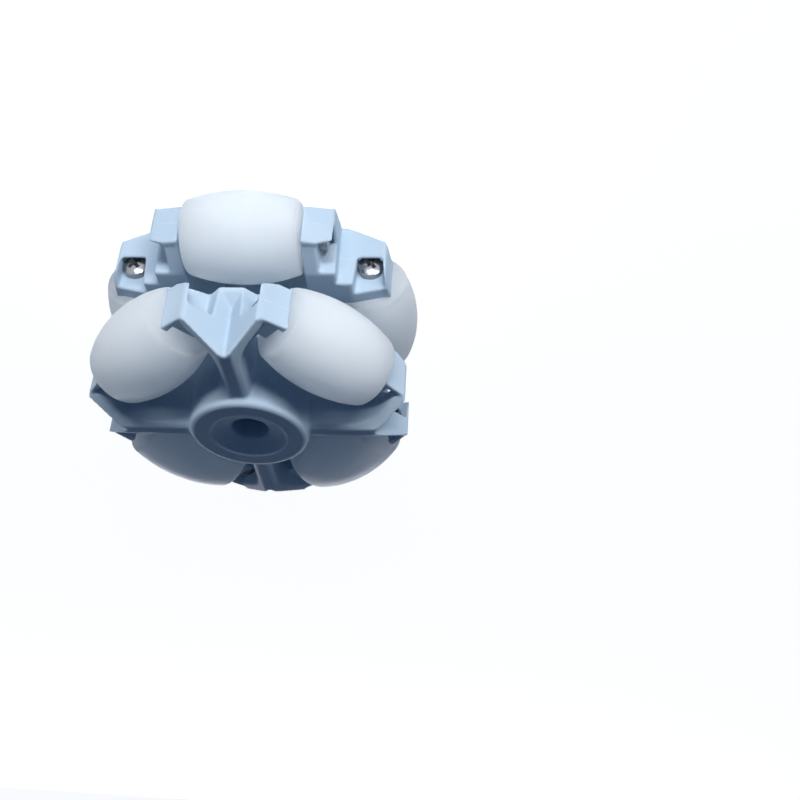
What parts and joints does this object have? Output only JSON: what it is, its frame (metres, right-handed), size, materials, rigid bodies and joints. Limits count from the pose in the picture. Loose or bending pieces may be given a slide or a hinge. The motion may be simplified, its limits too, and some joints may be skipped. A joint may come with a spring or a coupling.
{
  "type": "omni wheel",
  "caption": "Double-row plastic omni wheel: barrel rollers on tangential screw axles, held in forked arms round a bored hub, with the rows staggered.",
  "frame": {"origin": "centre of the wheel, on its axis, midway between the two hub faces", "axes": "+Z along the wheel's axis, out of the front row's hub face; +X along an arm of the front row. Between +X and +Y lies roller 1 of the front row, and on +Y roller 1 of the rear row"},
  "size_m": [0.058, 0.058, 0.0356],
  "materials": {
    "frame_plastic": "satin light blue-grey moulded plastic",
    "roller_plastic": "satin milky white plastic",
    "screw_steel": "bright zinc-plated steel"
  },
  "bodies": {
    "wheel_body": {"front_outer_frame": "frame_plastic", "front_inner_frame": "frame_plastic", "rear_inner_frame": "frame_plastic", "rear_outer_frame": "frame_plastic", "front_axle_1": "screw_steel", "front_axle_2": "screw_steel", "front_axle_3": "screw_steel", "front_axle_4": "screw_steel", "rear_axle_1": "screw_steel", "rear_axle_2": "screw_steel", "rear_axle_3": "screw_steel", "rear_axle_4": "screw_steel"},
    "front_roller_1": {"front_roller_1": "roller_plastic"},
    "front_roller_2": {"front_roller_2": "roller_plastic"},
    "front_roller_3": {"front_roller_3": "roller_plastic"},
    "front_roller_4": {"front_roller_4": "roller_plastic"},
    "rear_roller_1": {"rear_roller_1": "roller_plastic"},
    "rear_roller_2": {"rear_roller_2": "roller_plastic"},
    "rear_roller_3": {"rear_roller_3": "roller_plastic"},
    "rear_roller_4": {"rear_roller_4": "roller_plastic"}
  },
  "joints": [
    {"name": "front_roller_1_spin", "type": "hinge", "parent": "wheel_body", "child": "front_roller_1", "pos_m": [0.01492, 0.01492, 0.0093], "axis": [-0.7071, 0.7071, 0], "continuous": true},
    {"name": "front_roller_2_spin", "type": "hinge", "parent": "wheel_body", "child": "front_roller_2", "pos_m": [-0.01492, 0.01492, 0.0093], "axis": [-0.7071, -0.7071, 0], "continuous": true},
    {"name": "front_roller_3_spin", "type": "hinge", "parent": "wheel_body", "child": "front_roller_3", "pos_m": [-0.01492, -0.01492, 0.0093], "axis": [0.7071, -0.7071, 0], "continuous": true},
    {"name": "front_roller_4_spin", "type": "hinge", "parent": "wheel_body", "child": "front_roller_4", "pos_m": [0.01492, -0.01492, 0.0093], "axis": [0.7071, 0.7071, 0], "continuous": true},
    {"name": "rear_roller_1_spin", "type": "hinge", "parent": "wheel_body", "child": "rear_roller_1", "pos_m": [0, 0.0211, -0.0093], "axis": [-1, 0, 0], "continuous": true},
    {"name": "rear_roller_2_spin", "type": "hinge", "parent": "wheel_body", "child": "rear_roller_2", "pos_m": [-0.0211, 0, -0.0093], "axis": [0, -1, 0], "continuous": true},
    {"name": "rear_roller_3_spin", "type": "hinge", "parent": "wheel_body", "child": "rear_roller_3", "pos_m": [0, -0.0211, -0.0093], "axis": [1, 0, 0], "continuous": true},
    {"name": "rear_roller_4_spin", "type": "hinge", "parent": "wheel_body", "child": "rear_roller_4", "pos_m": [0.0211, 0, -0.0093], "axis": [0, 1, 0], "continuous": true}
  ]
}
